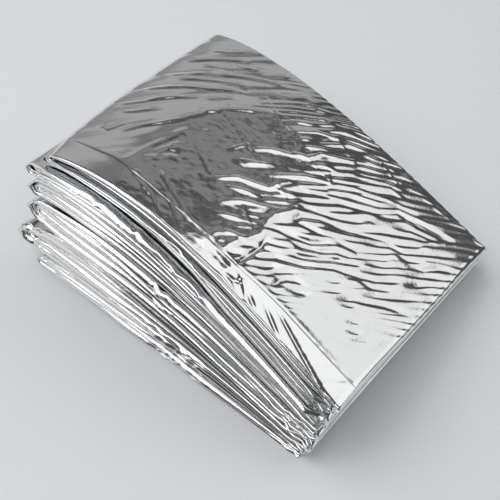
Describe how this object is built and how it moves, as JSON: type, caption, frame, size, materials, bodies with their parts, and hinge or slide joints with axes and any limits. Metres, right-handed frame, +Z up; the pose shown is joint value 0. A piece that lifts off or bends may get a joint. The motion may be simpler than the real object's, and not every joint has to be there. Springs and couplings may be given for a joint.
{
  "type": "emergency foil blanket",
  "caption": "Thin metallised film blanket folded back and forth into a wedge-shaped packet that lies flat; unfolds to wrap a person and hold in body heat.",
  "frame": {"origin": "middle of the packet's footprint, on the surface it lies on", "axes": "+X along the strip's passes from the open fan of tips to the thin end, +Y from the near side of folded edges to the far side, +Z up"},
  "size_m": [0.1374, 0.116, 0.064],
  "materials": {
    "metallised_film": "bright silver metallised polyester film, creased and finely wrinkled"
  },
  "bodies": {
    "root": {"foil_blanket": "metallised_film"}
  },
  "joints": []
}
